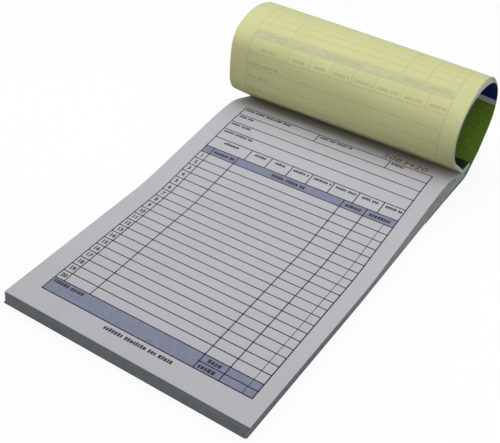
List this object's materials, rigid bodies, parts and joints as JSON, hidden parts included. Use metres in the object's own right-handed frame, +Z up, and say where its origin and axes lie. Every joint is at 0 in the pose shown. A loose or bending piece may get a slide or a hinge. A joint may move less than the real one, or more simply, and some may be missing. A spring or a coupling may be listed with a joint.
{
  "type": "duplicate receipt book",
  "caption": "Top-bound pad of two-part carbonless sets with a ruled form, lying open with its used sets and cover rolled back over the spine and tucked under the pad.",
  "frame": {"origin": "middle of the footprint, on the table", "axes": "+X across the page to the right, +Y along the page from its free edge to the spine, +Z up"},
  "size_m": [0.1422, 0.2446, 0.0669],
  "materials": {
    "white_paper": "matte",
    "yellow_paper": "matte",
    "cover_card": "satin",
    "chipboard": "matte",
    "binding_tape": "matte",
    "staple_wire": "bright"
  },
  "bodies": {
    "book": {"back_board": "chipboard", "binding_tape": "binding_tape", "current_duplicate_stub": "yellow_paper", "current_original_stub": "white_paper", "front_cover": "cover_card", "remaining_duplicates": "yellow_paper", "remaining_originals": "white_paper", "staples": "staple_wire", "turned_duplicate_1": "yellow_paper", "turned_duplicate_2": "yellow_paper", "turned_duplicate_3": "yellow_paper", "turned_duplicate_4": "yellow_paper", "turned_duplicate_5": "yellow_paper", "turned_duplicate_6": "yellow_paper", "turned_original_1": "white_paper", "turned_original_2": "white_paper", "turned_original_3": "white_paper", "turned_original_4": "white_paper", "turned_original_5": "white_paper", "turned_original_6": "white_paper"},
    "duplicate_leaf": {"current_duplicate": "yellow_paper"},
    "original_leaf": {"current_original": "white_paper"}
  },
  "joints": [
    {"name": "duplicate_lift", "type": "hinge", "parent": "book", "child": "duplicate_leaf", "pos_m": [0.00122, 0.07921, 0.0129], "axis": [-1, 0, 0], "range_deg": [0, 12]},
    {"name": "original_lift", "type": "hinge", "parent": "duplicate_leaf", "child": "original_leaf", "pos_m": [0.00125, 0.07921, 0.01303], "axis": [-1, 0, 0], "range_deg": [0, 12]}
  ]
}
